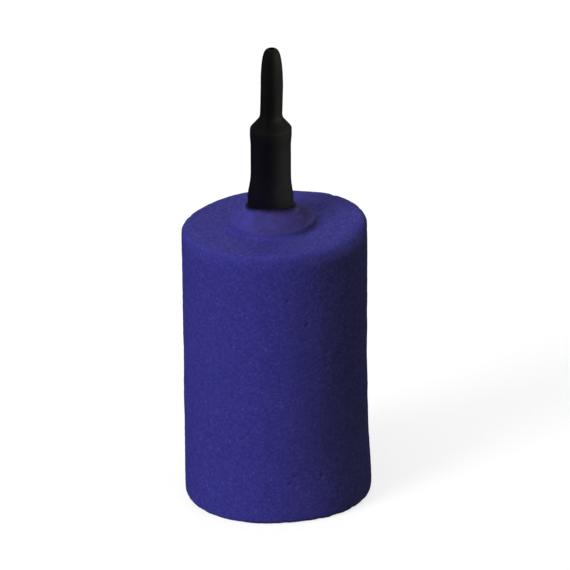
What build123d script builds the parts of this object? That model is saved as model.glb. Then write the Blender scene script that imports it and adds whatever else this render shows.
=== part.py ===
from build123d import *

import os

# Air diffuser stone: a porous mineral cylinder fed through a stepped hose nozzle.
# Millimetres. The origin is the centre of the base and +Z runs up the stone and the nozzle.
# Air enters the nipple's bore, fills the chamber in the stone and leaves through its pores.

# Porous body
STONE_DIAMETER = 38.0
STONE_HEIGHT = 59.4  # base to flat top
TOP_ROUND = 1.1
BASE_ROUND = 1.0
BOSS_DIAMETER = 18.4
BOSS_HEIGHT = 1.5
BOSS_ROUND = 0.9

# Hole left by the moulding core: a socket for the nozzle's shank, then the air chamber
SOCKET_DIAMETER = 9.4
SOCKET_DEPTH = 15.5  # from the boss's top
CHAMBER_TOP_DIAMETER = 8.0
CHAMBER_END_DIAMETER = 7.2  # the core's draft
CHAMBER_FLOOR = 14.0  # stone left under the chamber
CHAMBER_END_ROUND = 3.0

# Nozzle, outside. Rises are above the stone's flat top.
NIPPLE_DIAMETER = 4.6  # for airline tube of 4 mm bore
TIP_DIAMETER = 3.7
TIP_RISE = 38.2
NOSE_LENGTH = 5.2
TIP_ROUND = 0.8
SHOULDER_TOP_RISE = 23.25
SHOULDER_FOOT_RISE = 20.95
SHOULDER_ROOT_ROUND = 2.0
SHOULDER_ROUND = 0.9
LIP_DIAMETER = 8.6  # grips hose of 8 mm bore
LIP_FOOT_RISE = 19.3
COLLAR_DIAMETER = 8.3
COLLAR_TOP_RISE = 17.4
FLARE_TOP_RISE = 11.5
FLARE_DIAMETER = 9.4
FLARE_FOOT_RISE = 5.9
FLANGE_DIAMETER = 11.6
FLANGE_THICKNESS = 1.4
FLANGE_ROUND = 0.5

# Nozzle, bore: narrow in the nipple, wide below it so that the wall stays even
NIPPLE_BORE = 1.6
COLLAR_BORE = 5.2
BORE_CONE_TOP_RISE = 20.6
BORE_CONE_FOOT_RISE = 18.0

# Nozzle, shank: rings and slots that key it into the adhesive
SHANK_DIAMETER = 7.6
SHANK_LENGTH = 14.5
SHANK_END_CHAMFER = 0.5
RING_DIAMETER = 8.8
RING_COUNT = 4
RING_PITCH = 3.2
RING_LAND = 0.7
RING_LEAD = 0.6  # height of the sloped side that enters the socket first
FIRST_RING_DROP = 1.8  # flange's underside to the first ring's top
SLOT_COUNT = 4
SLOT_WIDTH = 1.2

# Adhesive
ADHESIVE_DEPTH = 14.0  # filled length of the socket, from the boss's top
BEAD_FOOT_DIAMETER = 17.0
BEAD_TOP_RISE = 4.7
BEAD_EDGE_HEIGHT = 0.35
BEAD_BULGE = 0.75  # how far the bead's face stands out of a straight cone

# Derived heights above the base
BOSS_TOP = STONE_HEIGHT + BOSS_HEIGHT
SOCKET_FLOOR = BOSS_TOP - SOCKET_DEPTH
SHANK_END = BOSS_TOP - SHANK_LENGTH
TIP = STONE_HEIGHT + TIP_RISE

EDGE_TOLERANCE = 0.001


def turned(profile):
    """The solid that a closed profile of (radius, height) edges makes about Z."""
    return revolve(Plane.XZ * make_face(profile), Axis.Z)


def ring_edges(solid, height):
    """The circular edges of a turned solid that lie at one height."""
    circles = solid.edges().filter_by(GeomType.CIRCLE)
    return circles.filter_by_position(Axis.Z, height - EDGE_TOLERANCE, height + EDGE_TOLERANCE)


def ring_edge(solid, diameter, height):
    """The one circular edge at that height whose diameter is nearest the one given."""
    return min(ring_edges(solid, height), key=lambda edge: abs(2 * edge.radius - diameter))


def moulding_core():
    """The hole in the stone: the shank's socket, a seat, and the tapered chamber below it."""
    socket = SOCKET_DIAMETER / 2
    chamber_top = CHAMBER_TOP_DIAMETER / 2
    chamber_end = CHAMBER_END_DIAMETER / 2
    core = turned(
        Polyline(
            (0, CHAMBER_FLOOR),
            (chamber_end, CHAMBER_FLOOR),
            (chamber_top, SOCKET_FLOOR),
            (socket, SOCKET_FLOOR),
            (socket, BOSS_TOP + 1),
            (0, BOSS_TOP + 1),
            close=True,
        )
    )
    return fillet(ring_edge(core, CHAMBER_END_DIAMETER, CHAMBER_FLOOR), CHAMBER_END_ROUND)


def stone_body():
    """The porous cylinder with its low boss, rounded edges and moulded hole."""
    radius = STONE_DIAMETER / 2
    boss = BOSS_DIAMETER / 2
    blank = turned(
        Polyline(
            (0, 0),
            (radius, 0),
            (radius, STONE_HEIGHT),
            (boss, STONE_HEIGHT),
            (boss, BOSS_TOP),
            (0, BOSS_TOP),
            close=True,
        )
    )
    blank = fillet(ring_edge(blank, STONE_DIAMETER, 0), BASE_ROUND)
    blank = fillet(ring_edge(blank, STONE_DIAMETER, STONE_HEIGHT), TOP_ROUND)
    blank = fillet(ring_edge(blank, BOSS_DIAMETER, BOSS_TOP), BOSS_ROUND)
    return blank - moulding_core()


def nozzle_outside():
    """The nozzle without its bore: nose, nipple, shoulder, lip, collar, flare and flange."""
    tip = TIP_DIAMETER / 2
    nipple = NIPPLE_DIAMETER / 2
    lip = LIP_DIAMETER / 2
    collar = COLLAR_DIAMETER / 2
    flare = FLARE_DIAMETER / 2
    flange = FLANGE_DIAMETER / 2
    shank = SHANK_DIAMETER / 2
    top = STONE_HEIGHT
    nose_foot = TIP - NOSE_LENGTH
    flange_top = BOSS_TOP + FLANGE_THICKNESS
    nose = TangentArc((nipple, nose_foot), (tip, TIP), tangent=(0, 1))
    nipple_to_collar = Polyline(
        (nipple, nose_foot),
        (nipple, top + SHOULDER_TOP_RISE),
        (lip, top + SHOULDER_FOOT_RISE),
        (lip, top + LIP_FOOT_RISE),
        (collar, top + COLLAR_TOP_RISE),
        (collar, top + FLARE_TOP_RISE),
    )
    flare_arc = TangentArc(
        (collar, top + FLARE_TOP_RISE),
        (flare, top + FLARE_FOOT_RISE),
        tangent=(0, -1),
    )
    flange_and_shank = Polyline(
        (flare, top + FLARE_FOOT_RISE),
        (flare, flange_top),
        (flange, flange_top),
        (flange, BOSS_TOP),
        (shank, BOSS_TOP),
        (shank, SHANK_END),
        (0, SHANK_END),
        (0, TIP),
        (tip, TIP),
    )
    body = turned(nose + nipple_to_collar + flare_arc + flange_and_shank)
    body = fillet(ring_edge(body, TIP_DIAMETER, TIP), TIP_ROUND)
    body = fillet(ring_edge(body, NIPPLE_DIAMETER, top + SHOULDER_TOP_RISE), SHOULDER_ROOT_ROUND)
    body = fillet(ring_edge(body, LIP_DIAMETER, top + SHOULDER_FOOT_RISE), SHOULDER_ROUND)
    body = fillet(ring_edge(body, FLANGE_DIAMETER, flange_top), FLANGE_ROUND)
    return chamfer(ring_edge(body, SHANK_DIAMETER, SHANK_END), SHANK_END_CHAMFER)


def shank_ring(ring_top):
    """One retention ring: square above, sloped below."""
    shank = SHANK_DIAMETER / 2
    ring = RING_DIAMETER / 2
    inner = shank - 0.5
    return turned(
        Polyline(
            (inner, ring_top),
            (ring, ring_top),
            (ring, ring_top - RING_LAND),
            (shank, ring_top - RING_LAND - RING_LEAD),
            (inner, ring_top - RING_LAND - RING_LEAD),
            close=True,
        )
    )


def slotted_rings():
    """All retention rings, cut by lengthwise slots so that the nozzle can't turn in the glue."""
    tops = [BOSS_TOP - FIRST_RING_DROP - RING_PITCH * i for i in range(RING_COUNT)]
    rings = [shank_ring(ring_top) for ring_top in tops]
    slot_depth = (RING_DIAMETER - SHANK_DIAMETER) / 2
    slot_centre = (RING_DIAMETER + SHANK_DIAMETER) / 4
    slot = Pos(slot_centre, 0, BOSS_TOP - SHANK_LENGTH / 2) * Box(
        slot_depth, SLOT_WIDTH, SHANK_LENGTH
    )
    slots = [Rot(0, 0, 360 / SLOT_COUNT * i) * slot for i in range(SLOT_COUNT)]
    return [ring - slots for ring in rings]


def nozzle_bore():
    """The stepped air passage through the nozzle."""
    narrow = NIPPLE_BORE / 2
    wide = COLLAR_BORE / 2
    return turned(
        Polyline(
            (0, TIP + 1),
            (narrow, TIP + 1),
            (narrow, STONE_HEIGHT + BORE_CONE_TOP_RISE),
            (wide, STONE_HEIGHT + BORE_CONE_FOOT_RISE),
            (wide, SHANK_END - 1),
            (0, SHANK_END - 1),
            close=True,
        )
    )


def air_nozzle():
    """The stepped hose nozzle, with its flange and ringed shank."""
    return nozzle_outside() + slotted_rings() - nozzle_bore()


def shank_adhesive(nozzle):
    """The adhesive that fills the socket round the shank."""
    fill = turned(
        Polyline(
            (0, BOSS_TOP),
            (SOCKET_DIAMETER / 2, BOSS_TOP),
            (SOCKET_DIAMETER / 2, BOSS_TOP - ADHESIVE_DEPTH),
            (0, BOSS_TOP - ADHESIVE_DEPTH),
            close=True,
        )
    )
    sleeve = fill - nozzle - nozzle_bore()
    return max(sleeve.solids(), key=lambda solid: solid.volume)


def seal_bead(nozzle):
    """The bead of adhesive mounded over the flange, from the boss up to the nozzle's flare."""
    foot = BEAD_FOOT_DIAMETER / 2
    inner = COLLAR_DIAMETER / 2
    bead_top = STONE_HEIGHT + BEAD_TOP_RISE
    edge_top = BOSS_TOP + BEAD_EDGE_HEIGHT
    neck = FLARE_DIAMETER / 2
    middle = Vector((foot + neck) / 2, (edge_top + bead_top) / 2)
    along = Vector(neck - foot, bead_top - edge_top).normalized()
    crown = middle + Vector(along.Y, -along.X) * BEAD_BULGE
    face = ThreePointArc((foot, edge_top), (crown.X, crown.Y), (neck, bead_top))
    sides = Polyline(
        (neck, bead_top),
        (inner, bead_top),
        (inner, BOSS_TOP),
        (foot, BOSS_TOP),
        (foot, edge_top),
    )
    mound = turned(face + sides) - nozzle - nozzle_bore()
    return max(mound.solids(), key=lambda solid: solid.volume)


def main():
    os.makedirs("parts", exist_ok=True)
    nozzle = air_nozzle()
    nodes = {
        "porous_body": stone_body(),
        "air_nozzle": nozzle,
        "shank_adhesive": shank_adhesive(nozzle),
        "seal_bead": seal_bead(nozzle),
    }
    for name, shape in nodes.items():
        export_step(shape, f"parts/{name}.step")


main()
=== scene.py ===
import math

import bpy
import numpy as np
from mathutils import Matrix, Vector, noise


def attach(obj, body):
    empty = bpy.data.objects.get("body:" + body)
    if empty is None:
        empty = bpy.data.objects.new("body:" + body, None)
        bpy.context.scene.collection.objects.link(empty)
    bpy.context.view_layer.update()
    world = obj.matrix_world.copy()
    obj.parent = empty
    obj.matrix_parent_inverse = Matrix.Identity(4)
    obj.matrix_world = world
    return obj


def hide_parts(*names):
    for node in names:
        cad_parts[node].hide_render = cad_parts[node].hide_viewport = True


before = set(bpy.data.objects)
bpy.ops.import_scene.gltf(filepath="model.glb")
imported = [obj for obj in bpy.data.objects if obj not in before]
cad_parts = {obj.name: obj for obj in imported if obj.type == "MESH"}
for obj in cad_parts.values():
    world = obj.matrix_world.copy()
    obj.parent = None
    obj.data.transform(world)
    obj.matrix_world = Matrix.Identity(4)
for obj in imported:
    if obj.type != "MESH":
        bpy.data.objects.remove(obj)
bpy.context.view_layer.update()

MM = 0.001

# Sizes in millimetres, the same as the CAD model's. Heights are above the stone's base.
STONE_R = 19.0
TOP = 59.4  # the stone's flat top
BOSS_R = 9.2
BOSS_TOP = TOP + 1.5
SOCKET_R = 4.7
SOCKET_FLOOR = BOSS_TOP - 15.5
CHAMBER_TOP_R = 4.0
CHAMBER_END_R = 3.6
CHAMBER_FLOOR = 14.0
TIP = TOP + 38.2
NIPPLE_R = 2.3
SHOULDER_TOP = TOP + 23.25
SHOULDER_FOOT = TOP + 20.95
LIP_R = 4.3
LIP_FOOT = TOP + 19.3
COLLAR_R = 4.15
COLLAR_TOP = TOP + 17.4
FLARE_TOP = TOP + 11.5
FLARE_FOOT = TOP + 5.9
FOOT_R = 4.7
FLANGE_R = 5.8
FLANGE_TOP = BOSS_TOP + 1.4
SHANK_R = 3.8
SHANK_END = BOSS_TOP - 14.5
RING_R = 4.4
FIRST_RING_DROP = 1.8
RING_PITCH = 3.2
NIPPLE_BORE_R = 0.8
BORE_R = 2.6
BORE_CONE_TOP = TOP + 20.6
BORE_CONE_FOOT = TOP + 18.0


# ---------------------------------------------------------------- turned meshes


def path(corners):
    """Points along a profile of corners (radius, height, round, spacing to the next corner)."""
    points = []
    last = len(corners) - 1
    cut = []
    for i, (r, z, rnd, _) in enumerate(corners):
        here = np.array((r, z))
        if i in (0, last) or rnd == 0:
            cut.append((here, here, None))
            continue
        a = np.array(corners[i - 1][:2]) - here
        b = np.array(corners[i + 1][:2]) - here
        a, b = a / np.linalg.norm(a), b / np.linalg.norm(b)
        angle = math.acos(np.clip(a @ b, -1, 1))
        reach = rnd / math.tan(angle / 2)
        mid = (a + b) / np.linalg.norm(a + b)
        cut.append((here + a * reach, here + b * reach, here + mid * rnd / math.sin(angle / 2)))
    for i, (start, end, centre) in enumerate(cut):
        spacing = corners[i][3]
        if centre is None:
            points.append(start)
        else:
            u, v = start - centre, end - centre
            turn = math.atan2(u[0] * v[1] - u[1] * v[0], u @ v)
            step = min(corners[i - 1][3], spacing, corners[i][2] / 3)
            n = max(3, int(round(abs(turn) * corners[i][2] / step)))
            for k in range(n + 1):
                c, s = math.cos(turn * k / n), math.sin(turn * k / n)
                points.append(centre + np.array((c * u[0] - s * u[1], s * u[0] + c * u[1])))
        if i < last:
            nxt = cut[i + 1][0]
            n = max(1, int(round(np.linalg.norm(nxt - end) / spacing)))
            points += [end + (nxt - end) * k / n for k in range(1, n)]
    return np.array(points)


def smooth_curve(knots, steps):
    """Catmull-Rom through the knots."""
    knots = np.array(knots, float)
    padded = np.vstack((2 * knots[0] - knots[1], knots, 2 * knots[-1] - knots[-2]))
    points = []
    for u in np.linspace(0, len(knots) - 1, steps):
        i = min(int(u), len(knots) - 2)
        f = u - i
        a, b, c, d = padded[i : i + 4]
        curve = 2 * b + (c - a) * f + (2 * a - 5 * b + 4 * c - d) * f**2
        points.append(0.5 * (curve + (3 * b - a - 3 * c + d) * f**3))
    return [tuple(p) for p in points]


def lathe(name, profile, segments, shape=None):
    """A closed mesh turned about Z from (radius, height) points.

    shape(r, z, theta, normal) may move each point. It returns the new radius and height and,
    after them, any shift towards +X.
    """
    profile = np.asarray(profile, float)
    along = np.gradient(profile, axis=0)
    normals = np.stack((along[:, 1], -along[:, 0]), 1)
    normals /= np.maximum(np.linalg.norm(normals, axis=1), 1e-9)[:, None]
    rows, verts = [], []
    for (r, z), n in zip(profile, normals):
        if r < 1e-6:
            rows.append([len(verts)])
            verts.append((0, 0, z))
            continue
        rows.append(range(len(verts), len(verts) + segments))
        for k in range(segments):
            th = 2 * math.pi * k / segments
            rr, zz, *aside = (r, z) if shape is None else shape(r, z, th, n)
            verts.append((rr * math.cos(th) + sum(aside), rr * math.sin(th), zz))
    faces = []
    for low, high in zip(rows, rows[1:]):
        for k in range(segments):
            j = (k + 1) % segments
            if len(low) == 1:
                faces.append((low[0], high[j], high[k]))
            elif len(high) == 1:
                faces.append((low[k], low[j], high[0]))
            else:
                faces.append((low[k], low[j], high[j], high[k]))
    if len(rows[0]) > 1:  # a ring: the profile closes on itself
        low, high = rows[-1], rows[0]
        for k in range(segments):
            j = (k + 1) % segments
            faces.append((low[k], low[j], high[j], high[k]))
    mesh = bpy.data.meshes.new(name)
    mesh.from_pydata([Vector(v) * MM for v in verts], [], faces)
    mesh.validate()
    mesh.polygons.foreach_set("use_smooth", [True] * len(mesh.polygons))
    mesh.update()
    obj = bpy.data.objects.new(name, mesh)
    bpy.context.scene.collection.objects.link(obj)
    return obj


def ease(a, b, x):
    """0 at a, 1 at b, smooth between."""
    t = min(1.0, max(0.0, (x - a) / (b - a)))
    return t * t * (3 - 2 * t)


def hump(x, middle, width):
    """1 at the middle, falling away smoothly on both sides."""
    return math.exp(-(((x - middle) / width) ** 2))


def lobe(th, degrees, width):
    """A hump over the angle th that closes on itself after a full turn."""
    return math.exp(2 * (math.cos(th - math.radians(degrees)) - 1) / width**2)


# ---------------------------------------------------------------- porous stone

TOP_ROUND = 1.3  # the top rim's round at the back
WORN_ROUND = 3.1  # and where it is worn most, at the right of the front
TILT = 0.85  # how far the top slants down to the left and up to the right
DIP = 0.85  # depth of the slump at the right of its front
SHIFT = 0.45  # how far the top rim stands to the right of the base


def stone_relief(p, r, z):
    """Height of the lumps, grains, pits and chipped rims at a point of the stone."""
    lumps = 0.09 * noise.noise(p / 9.0) + 0.05 * noise.noise(p / 3.1 + Vector((7, 3, 5)))
    near, _ = noise.voronoi(p)
    grain = 0.055 * (0.42 - near[0])
    fine = 0.03 * noise.noise(p / 0.55)
    near, cells = noise.voronoi(p / 2.6 + Vector((11, 2, 9)))
    pit = 0.0
    if noise.cell(cells[0] * 37.0) > 0.5:
        pit = -0.25 * (1 - ease(0.08, 0.2, near[0]))
    rim = max(1 - abs(z - TOP) / 1.4, 1 - abs(z) / 1.2, 0)
    rim *= ease(STONE_R - 2.0, STONE_R - 0.6, r)
    chip = 0.16 if z > TOP / 2 else 0.12
    chips = -chip * rim * ease(0.22, 0.55, noise.noise(p / 2.3 + Vector((1, 8, 4))))
    return lumps + grain + fine + pit + chips


def stone_swell(r, z, th):
    """How far the sides stand out: a waist on the right, and a foot that bulges in two places."""
    side = r * math.cos(th) / STONE_R
    right, left = ease(-0.3, 0.8, side), ease(-0.3, 0.8, -side)
    swell = 0.08 + right * (0.30 * hump(z, 2, 8) - 0.30 * hump(z, 26, 15))
    swell += left * 0.12 * hump(z, 8, 20)
    foot = 0.5 * hump(th, math.radians(232), 0.5) + 0.32 * hump(th, math.radians(318), 0.4)
    return (swell + foot * hump(z, 0, 6)) * ease(16.5, 18.5, r)


def top_rise(th):
    """Height of the top rim above or below a level top."""
    waves = 0.22 * lobe(th, 112, 0.26) + 0.16 * lobe(th, 170, 0.3) - 0.28 * lobe(th, 73, 0.3)
    return TILT * math.cos(th) - DIP * lobe(th, 328, 0.62) + waves


def worn_rim(r, z, th):
    """The front of the top rim is worn rounder than the back."""
    dr, dz = r - (STONE_R - WORN_ROUND), z - (TOP - WORN_ROUND)
    far = math.hypot(dr, dz)
    if min(dr, dz) <= 0 or far <= WORN_ROUND or z > TOP + 0.01:
        return r, z
    wear = ease(0, 0.35, -math.sin(th)) * (0.45 + 0.55 * lobe(th, 330, 0.6))
    pull = wear * (WORN_ROUND / far - 1)
    return r + dr * pull, z + dz * pull


def stone_shape(r, z, th, n):
    outside = ease(SOCKET_R + 0.3, 8.4, r) if z > SOCKET_FLOOR else float(r > 9)
    if outside == 0:  # the socket and the chamber stay true
        return r, z
    d = outside * stone_relief(Vector((r * math.cos(th), r * math.sin(th), z)), r, z)
    if z < 0.05:  # the standing face stays on the floor
        return r, max(0.0, abs(d) * 0.5 - 0.02)
    rise = top_rise(th) * r / STONE_R * ease(0.4, 1.0, z / TOP) * (1 - ease(TOP, BOSS_TOP, z))
    shift = SHIFT * z / TOP * ease(BOSS_R, 15.0, r)
    worn_r, worn_z = worn_rim(r, z, th)
    return worn_r + n[0] * d + stone_swell(r, z, th), max(0.0, worn_z + n[1] * d + rise), shift


def make_stone():
    corners = [
        (0, 0, 0, 2.4),
        (STONE_R - 2.0, 0, 0, 0.34),
        (STONE_R, 0, 1.0, 0.34),
        (STONE_R, TOP, TOP_ROUND, 0.34),
        (BOSS_R + 0.15, TOP, 0.6, 0.3),
        (BOSS_R - 0.15, BOSS_TOP, 0.9, 0.3),
        (SOCKET_R, BOSS_TOP, 0, 1.6),
        (SOCKET_R, SOCKET_FLOOR, 0, 0.35),
        (CHAMBER_TOP_R, SOCKET_FLOOR, 0, 4.0),
        (CHAMBER_END_R, CHAMBER_FLOOR, 2.8, 1.0),
        (0, CHAMBER_FLOOR, 0, 1.0),
    ]
    return lathe("stone", path(corners), 352, stone_shape)


# ---------------------------------------------------------------- hose nozzle

PARTING = math.radians(248)  # the mould's parting line, and its twin half a turn away

# Height above the stone's flat top, and how far the nozzle stands off the axis there
LEAN = [
    (1.5, 0.0),
    (3.0, -0.18),
    (6.5, -0.18),
    (8.0, -0.13),
    (11.0, 0.01),
    (18.0, 0.14),
    (22.0, 0.25),
    (26.0, 0.46),
    (30.0, 0.63),
    (38.0, 0.74),
]

# Radius of the nose and depth below the tip, from the bore's mouth to the straight nipple
NOSE = [
    (0.75, 0.03),
    (0.82, 0.0),
    (0.97, 0.06),
    (1.17, 0.19),
    (1.38, 0.42),
    (1.58, 0.79),
    (1.75, 1.27),
    (1.88, 1.82),
    (1.99, 2.5),
    (2.10, 3.35),
    (2.19, 4.4),
    (2.26, 5.6),
    (2.29, 7.0),
]


def lean(z):
    """How far the hand-set nozzle stands off the axis at a height, towards +X."""
    heights, offsets = zip(*LEAN)
    return float(np.interp(z - TOP, heights, offsets))


def nozzle_shape(r, z, th, n):
    off = abs((th - PARTING + math.pi / 2) % math.pi - math.pi / 2) * r
    line = 0.035 * max(0.0, 1 - off / 0.16)
    p = Vector((r * math.cos(th), r * math.sin(th), z))
    sink = 0.018 * noise.noise(p / 4.0)
    d = line + sink if z > FLANGE_TOP and r > 1.2 else 0.0
    return r + n[0] * d, z + n[1] * d, lean(z)


def foot_radius(z):
    """The nozzle's outside at a height between the collar and the flange."""
    down = min(1.0, max(0.0, (FLARE_TOP - z) / (FLARE_TOP - FLARE_FOOT)))
    return COLLAR_R + (FOOT_R - COLLAR_R) * down**3 * (4 - 3 * down)


def nozzle_profile():
    """From the bore's mouth over the outside, down the ringed shank and back up the bore."""
    mouth = [(0.73, TIP - 0.1)]
    nose = [(r, TIP - depth) for r, depth in smooth_curve(NOSE, 34)]
    body = path(
        [
            (NIPPLE_R, TIP - 7.4, 0, 0.5),
            (NIPPLE_R, SHOULDER_TOP, 2.0, 0.25),
            (LIP_R, SHOULDER_FOOT, 0.9, 0.2),
            (LIP_R, LIP_FOOT, 0.25, 0.3),
            (COLLAR_R, COLLAR_TOP, 0, 0.5),
            (COLLAR_R, FLARE_TOP, 0, 0.5),
        ]
    )
    flare = [(foot_radius(z), z) for z in np.linspace(FLARE_TOP, FLARE_FOOT, 19)[1:]]
    foot = [(FOOT_R, TOP + 4.6), (FOOT_R, TOP + 3.8), (FOOT_R, FLANGE_TOP)]
    flange = [(FLANGE_R - 0.4, FLANGE_TOP), (FLANGE_R, FLANGE_TOP - 0.4), (FLANGE_R, BOSS_TOP)]
    shank = [(SHANK_R, BOSS_TOP)]
    for i in range(4):
        top = BOSS_TOP - FIRST_RING_DROP - RING_PITCH * i
        shank += [(SHANK_R, top), (RING_R, top), (RING_R, top - 0.7), (SHANK_R, top - 1.3)]
    shank += [(SHANK_R, SHANK_END + 0.5), (SHANK_R - 0.5, SHANK_END)]
    bore = [(BORE_R, SHANK_END), (BORE_R, BOSS_TOP)]
    bore += [(BORE_R, BORE_CONE_FOOT), (NIPPLE_BORE_R, BORE_CONE_TOP)]
    return mouth + nose + list(body) + flare + foot + flange + shank + bore


def make_nozzle():
    return lathe("nozzle", nozzle_profile()[::-1], 224, nozzle_shape)


# ---------------------------------------------------------------- bead of adhesive

# Radius, and height above the stone's flat top
BEAD_FACE = [
    (8.95, 0.95),
    (8.6, 1.4),
    (8.2, 1.72),
    (7.6, 2.18),
    (6.8, 2.85),
    (6.1, 3.45),
    (5.4, 4.05),
    (4.71, 4.8),
]

# Where the bead stands proud or falls short: angle and width in degrees, and height
BEAD_BUMPS = [
    (228, 17, 0.85),
    (262, 18, -0.2),
    (335, 15, -0.1),
    (120, 40, 0.25),
    (40, 25, -0.2),
]


def bump_at(th, angle, width, height):
    off = (th - math.radians(angle) + math.pi) % (2 * math.pi) - math.pi
    return height * hump(off, 0, math.radians(width))


def bead_shape(r, z, th, n):
    uneven = 0.2 * noise.noise(Vector((math.cos(th) * 1.3, math.sin(th) * 1.3, 4.0)))
    creep = (uneven + 0.15 - 0.8 * math.cos(th) ** 2) * ease(TOP + 3.2, TOP + 4.5, z)
    if r < FOOT_R + 0.03:  # inner wall, buried in the nozzle
        return foot_radius(z + creep) - 0.03, z + creep, lean(z)
    if z < BOSS_TOP and r < 8.4:  # underside, buried in the boss
        return r, z, lean(z)
    p = Vector((r * math.cos(th), r * math.sin(th), z))
    d = sum(bump_at(th, *bump) for bump in BEAD_BUMPS)
    d += 0.24 * noise.noise(p / 2.6) + 0.05 * noise.noise(p / 0.8)
    d *= ease(FOOT_R, 5.9, r) * (1 - ease(8.0, 9.0, r) * 0.8)
    spread = 0.15 * noise.noise(Vector((math.cos(th) * 2.1, math.sin(th) * 2.1, 9.0)))
    rr = r + n[0] * d + spread * (1 - ease(TOP + 1.2, TOP + 3.0, z))
    return rr, z + n[1] * d + creep, lean(z)


def make_bead():
    face = [(r, TOP + rise) for r, rise in smooth_curve(BEAD_FACE, 34)]
    seat_r, seat_z = FLANGE_R - 0.02, FLANGE_TOP - 0.01
    back = [(FOOT_R, TOP + 4.5), (FOOT_R, seat_z), (seat_r, seat_z), (seat_r, BOSS_TOP - 0.02)]
    buried = [(7.6, BOSS_TOP - 0.2), (8.3, TOP + 0.8)]
    return lathe("bead", face + back + buried, 176, bead_shape)


# ---------------------------------------------------------------- materials


class Net:
    """Short names for building a material's nodes."""

    def __init__(self, name):
        self.mat = bpy.data.materials.new(name)
        self.mat.use_nodes = True
        self.tree = self.mat.node_tree
        self.tree.nodes.clear()
        self.out = self.tree.nodes.new("ShaderNodeOutputMaterial")
        self.where = self.node("TexCoord").outputs["Object"]

    def node(self, kind, settings=None, **inputs):
        made = self.tree.nodes.new("ShaderNode" + kind)
        for key, value in (settings or {}).items():
            setattr(made, key, value)
        for key, value in inputs.items():
            self.put(made.inputs[key.replace("_", " ")], value)
        return made

    def put(self, socket, value):
        if isinstance(value, bpy.types.NodeSocket):
            self.tree.links.new(value, socket)
        else:
            socket.default_value = value

    def noise(self, size_mm, detail=2.0, rough=0.5, where=None):
        n = self.node("TexNoise", Scale=1 / (size_mm * MM), Detail=detail, Roughness=rough)
        self.put(n.inputs["Vector"], where or self.where)
        return n.outputs["Fac"]

    def cells(self, size_mm):
        """A grain pattern: distance from each grain's middle, and a tone for each grain."""
        n = self.node("TexVoronoi", Scale=1 / (size_mm * MM))
        self.put(n.inputs["Vector"], self.where)
        tone = self.node("SeparateColor", Color=n.outputs["Color"]).outputs[0]
        return n.outputs["Distance"], tone

    def xyz(self):
        return self.node("SeparateXYZ", Vector=self.where).outputs

    def math(self, op, a, b=0.0, c=0.0):
        n = self.node("Math", {"operation": op})
        for socket, value in zip(n.inputs, (a, b, c)):
            self.put(socket, value)
        return n.outputs[0]

    def times(self, a, b):
        return self.math("MULTIPLY", a, b)

    def span(self, value, low, high, to_low=0.0, to_high=1.0):
        """Runs smoothly from to_low, where the value is low, to to_high, where it is high."""
        n = self.node("MapRange", {"interpolation_type": "SMOOTHSTEP"})
        for socket, v in zip(n.inputs, (value, low, high, to_low, to_high)):
            self.put(socket, v)
        return n.outputs[0]

    def mix(self, fac, a, b):
        """Colour b over colour a. Each is a socket or (red, green, blue)."""
        n = self.node("Mix", {"data_type": "RGBA"})
        self.put(n.inputs[0], fac)
        for socket, colour in ((n.inputs[6], a), (n.inputs[7], b)):
            self.put(socket, (*colour, 1) if isinstance(colour, tuple) else colour)
        return n.outputs[2]

    def bump(self, height, distance_mm, strength=1.0):
        n = self.node("Bump", Strength=strength, Distance=distance_mm * MM)
        self.put(n.inputs["Height"], height)
        return n.outputs[0]

    def radius(self, xyz, axis_x=0.0):
        """Distance from an upright axis that stands at axis_x."""
        across = self.math("POWER", self.math("SUBTRACT", xyz[0], axis_x), 2.0)
        return self.math("SQRT", self.math("ADD", across, self.math("POWER", xyz[1], 2.0)))

    def finish(self, colour, roughness, normal, **fixed):
        shader = self.node("BsdfPrincipled")
        self.put(shader.inputs["Base Color"], colour)
        self.put(shader.inputs["Roughness"], roughness)
        self.put(shader.inputs["Normal"], normal)
        for key, value in fixed.items():
            shader.inputs[key.replace("_", " ")].default_value = value
        self.put(self.out.inputs[0], shader.outputs[0])
        return self.mat


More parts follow.
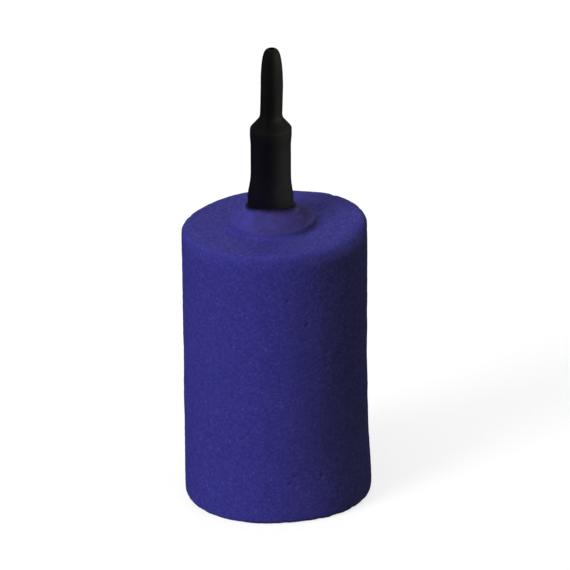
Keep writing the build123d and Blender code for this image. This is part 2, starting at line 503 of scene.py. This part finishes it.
def stone_material():
    net = Net("blue_stone")
    distance, tone = net.cells(0.46)
    fine = net.noise(0.22, 2)
    mottle = net.noise(7.0, 4, 0.6)
    patch = net.noise(2.2, 3, 0.6)
    xyz = net.xyz()
    radius = net.radius(xyz)

    # Grains of three blues in broad soft patches, a few pale specks, and dark gaps between
    dark, mid, light = (0.027, 0.025, 0.173), (0.032, 0.029, 0.203), (0.037, 0.033, 0.226)
    colour = net.mix(net.span(tone, 0.0, 0.55), dark, mid)
    colour = net.mix(net.span(tone, 0.55, 1.0), colour, light)
    colour = net.mix(net.span(mottle, 0.35, 0.68, 0.0, 0.30), colour, (0.038, 0.031, 0.208))
    colour = net.mix(net.span(patch, 0.42, 0.7, 0.0, 0.28), colour, (0.024, 0.024, 0.172))
    colour = net.mix(net.span(tone, 0.975, 0.99, 0.0, 0.15), colour, (0.10, 0.10, 0.36))
    colour = net.mix(net.span(distance, 0.42, 0.75, 0.0, 0.25), colour, (0.010, 0.010, 0.07))

    # The base's rim is scuffed paler, and the top's is handled darker
    outer = net.span(radius, (STONE_R - 1.4) * MM, STONE_R * MM)
    low = net.span(xyz[2], 1.6 * MM, 0.2 * MM)
    high = net.span(xyz[2], (TOP - 2.4) * MM, (TOP - 0.6) * MM)
    scuffed = net.times(net.times(outer, low), net.span(patch, 0.35, 0.65, 0.0, 0.25))
    colour = net.mix(scuffed, colour, (0.075, 0.067, 0.27))
    handled = net.times(net.times(outer, high), net.span(patch, 0.35, 0.65, 0.75, 0.45))
    colour = net.mix(handled, colour, (0.019, 0.017, 0.125))

    # Adhesive has seeped into the boss
    on_boss = net.span(radius, (BOSS_R + 1.1) * MM, (BOSS_R - 0.3) * MM)
    seep = net.times(on_boss, net.span(xyz[2], (TOP + 0.1) * MM, (TOP + 0.6) * MM))
    colour = net.mix(net.times(seep, 0.8), colour, (0.033, 0.027, 0.150))

    rough = net.span(tone, 0.0, 1.0, 0.98, 0.80)
    relief = net.math("MULTIPLY_ADD", distance, -0.8, net.times(fine, 0.5))
    normal = net.bump(relief, 0.10, 0.5)
    matt = {"Specular_IOR_Level": 0.3, "Sheen_Weight": 0.015, "Sheen_Roughness": 0.4}
    return net.finish(colour, rough, normal, **matt)


def nozzle_material():
    net = Net("black_plastic")
    cloud = net.noise(5.0, 4, 0.6)
    fine = net.noise(0.12, 2)
    z = net.xyz()[2]
    colour = net.mix(net.span(cloud, 0.35, 0.7), (0.0010, 0.0010, 0.0012), (0.0022, 0.0022, 0.0026))

    # A violet cast below the lip, blue dust from the stone near the foot, and a scuffed lip
    below = net.span(z, (TOP + 22) * MM, (TOP + 17) * MM)
    colour = net.mix(below, colour, (0.0015, 0.0009, 0.0034))
    near_foot = net.span(z, (TOP + 14.6) * MM, (TOP + 4.6) * MM)
    dust = net.times(near_foot, net.span(net.noise(0.6, 4, 0.7), 0.45, 0.75))
    colour = net.mix(net.times(dust, 0.14), colour, (0.008, 0.006, 0.03))
    above_lip_foot = net.span(z, (LIP_FOOT - 0.7) * MM, (LIP_FOOT + 0.5) * MM)
    below_shoulder = net.span(z, (SHOULDER_FOOT + 0.95) * MM, (SHOULDER_FOOT - 0.15) * MM)
    lip = net.times(above_lip_foot, below_shoulder)
    scuff = net.times(lip, net.span(net.noise(0.5, 5, 0.7), 0.52, 0.68))
    colour = net.mix(net.times(scuff, 0.5), colour, (0.014, 0.014, 0.015))

    # Fine streaks along the nozzle, and a rougher foot
    stretch = net.node("Mapping", Vector=net.where)
    stretch.inputs["Scale"].default_value = (1, 1, 0.06)
    streak = net.noise(0.25, 3, 0.6, stretch.outputs[0])
    rough = net.span(cloud, 0.3, 0.7, 0.60, 0.72)
    foot = net.span(z, FLARE_TOP * MM, FLARE_FOOT * MM, 0.0, 0.15)
    rough = net.math("ADD", net.math("ADD", rough, foot), net.times(scuff, 0.2))
    relief = net.math("MULTIPLY_ADD", streak, 0.5, net.times(fine, 0.5))
    normal = net.bump(relief, 0.03, 0.6)
    return net.finish(colour, rough, normal, Specular_IOR_Level=0.55)


def bead_material():
    net = Net("tinted_adhesive")
    distance, tone = net.cells(0.5)
    cloud = net.noise(2.4, 4, 0.6)
    xyz = net.xyz()
    colour = net.mix(net.span(cloud, 0.3, 0.7), (0.028, 0.021, 0.112), (0.036, 0.028, 0.148))

    # Stone dust sits in it; painted light makes its left side, toward the key light, lighter and bluer,
    # and painted shade darkens it next to the nozzle
    dusted = net.times(net.span(tone, 0.45, 0.8), net.span(cloud, 0.35, 0.6))
    colour = net.mix(net.times(dusted, 0.6), colour, (0.033, 0.029, 0.175))
    # Painted light: the side that faces the key light is painted lighter, towards the stone's blue
    lit_left_mask = net.span(xyz[0], 1.5 * MM, -5.0 * MM)
    painted_light_left = net.times(lit_left_mask, net.span(cloud, 0.25, 0.5, 0.5, 0.9))
    colour = net.mix(painted_light_left, colour, (0.037, 0.033, 0.205))
    # Painted shade: the bead is painted near-black where it meets the nozzle, as the shade in that join
    radius = net.radius(xyz, lean(TOP + 4) * MM)
    ragged = net.math("MULTIPLY_ADD", cloud, -0.8 * MM, radius)
    painted_shade_ring = net.span(ragged, (FOOT_R + 0.55) * MM, (FOOT_R - 0.35) * MM)
    colour = net.mix(painted_shade_ring, colour, (0.004, 0.003, 0.014))

    rough = net.span(tone, 0.2, 0.9, 0.55, 0.78)
    relief = net.math("MULTIPLY_ADD", distance, -0.6, net.noise(0.3, 3))
    normal = net.bump(relief, 0.08, 0.6)
    return net.finish(colour, rough, normal, Specular_IOR_Level=0.25)


def resin_material():
    net = Net("clear_adhesive")
    cloud = net.noise(1.6, 3)
    colour = net.mix(net.span(cloud, 0.3, 0.7), (0.42, 0.34, 0.19), (0.50, 0.42, 0.26))
    rough = net.span(cloud, 0.3, 0.7, 0.25, 0.4)
    return net.finish(colour, rough, net.bump(cloud, 0.05, 0.5))


def floor_material():
    """Pale and evenly bright, so that only the object's soft shadow shows on it."""
    net = Net("studio_floor")
    lit = net.node("BsdfDiffuse", Color=(0.30, 0.30, 0.308, 1))
    strength = net.span(net.xyz()[2], 0.0, 0.08, 0.73, 1.0)
    glow = net.node("Emission", Color=(1, 1, 1, 1), Strength=strength)
    both = net.node("AddShader")
    net.put(both.inputs[0], lit.outputs[0])
    net.put(both.inputs[1], glow.outputs[0])
    net.put(net.out.inputs[0], both.outputs[0])
    return net.mat


# ---------------------------------------------------------------- build

stone = make_stone()
nozzle = make_nozzle()
bead = make_bead()
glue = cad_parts["shank_adhesive"]
glue.data.materials.clear()

for piece, material in (
    (stone, stone_material()),
    (nozzle, nozzle_material()),
    (bead, bead_material()),
    (glue, resin_material()),
):
    piece.data.materials.append(material)

for piece, node, slot in (
    (stone, "porous_body", "blue_stone"),
    (nozzle, "air_nozzle", "black_plastic"),
    (bead, "seal_bead", "tinted_adhesive"),
):
    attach(piece, "root")
    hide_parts(node)

# ---------------------------------------------------------------- stage, camera, light

# A disc with its edge turned up, wide enough to fill the picture from every side
FLOOR_R = 3000
FLOOR_WALL = 1600
FLOOR_TOP = -0.02  # just under the stone

sweep = path([(0, FLOOR_TOP, 0, 400), (FLOOR_R, FLOOR_TOP, 500, 200), (FLOOR_R, FLOOR_WALL, 0, 200)])
underside = [(FLOOR_R + 1, FLOOR_WALL), (FLOOR_R + 1, -1), (0, -1)]
floor = lathe("studio_floor", list(sweep) + underside, 96)
floor.data.materials.append(floor_material())
floor.visible_diffuse = False
floor.visible_glossy = False
floor.visible_shadow = False

ELEVATION = 22.5
ROLL = -1.3
LENS = 600.0
SENSOR = 36.0
DISTANCE = 1955.5  # from the camera to the point that it is aimed at
AIM = 45.5  # height on the axis that lies level with the picture's centre
ASIDE = 2.388  # the axis lies this far left of the picture's centre

cam_data = bpy.data.cameras.new("camera")
cam_data.lens = LENS
cam_data.sensor_width = SENSOR
cam_data.clip_end = 50.0
camera = bpy.data.objects.new("camera", cam_data)
bpy.context.scene.collection.objects.link(camera)
tilt = Matrix.Rotation(math.radians(90 - ELEVATION), 4, "X") @ Matrix.Rotation(math.radians(ROLL), 4, "Z")
aim = Vector((0, 0, AIM)) + (tilt @ Vector((1, 0, 0))) * ASIDE
camera.matrix_world = Matrix.Translation((aim + (tilt @ Vector((0, 0, 1))) * DISTANCE) * MM) @ tilt
bpy.context.scene.camera = camera


def sun(name, azimuth, elevation, strength, angle, colour=(1, 1, 1)):
    """Light from that side: azimuth 0 is the camera's side and 90 the right."""
    data = bpy.data.lights.new(name, "SUN")
    data.energy = strength
    data.angle = math.radians(angle)
    data.color = colour
    obj = bpy.data.objects.new(name, data)
    a, e = math.radians(azimuth), math.radians(elevation)
    source = Vector((math.sin(a) * math.cos(e), -math.cos(a) * math.cos(e), math.sin(e)))
    obj.rotation_mode = "QUATERNION"
    obj.rotation_quaternion = source.to_track_quat("Z", "Y")
    bpy.context.scene.collection.objects.link(obj)
    return obj


# The key and the overhead give no gloss, and the haze and the glint give nothing but gloss
key = sun("key", -50, 22, 3.6, 32, (0.95, 0.95, 1.0))
overhead = sun("overhead", 0, 80, 1.6, 60)
sun("fill", 52, 12, 0.44, 24, (1.0, 1.0, 0.6))
sun("back", 176, 38, 0.6, 26)
haze = sun("haze", 84, 6, 0.72, 50)
glint = sun("glint", -82, 10, 0.2, 40)
key.visible_glossy = False
overhead.visible_glossy = False
haze.visible_diffuse = False
glint.visible_diffuse = False

world = bpy.data.worlds.new("studio")
world.use_nodes = True
background = world.node_tree.nodes["Background"]
background.inputs["Color"].default_value = (1, 1, 1, 1)
background.inputs["Strength"].default_value = 0.014
bpy.context.scene.world = world
bpy.context.scene.view_settings.view_transform = "Standard"
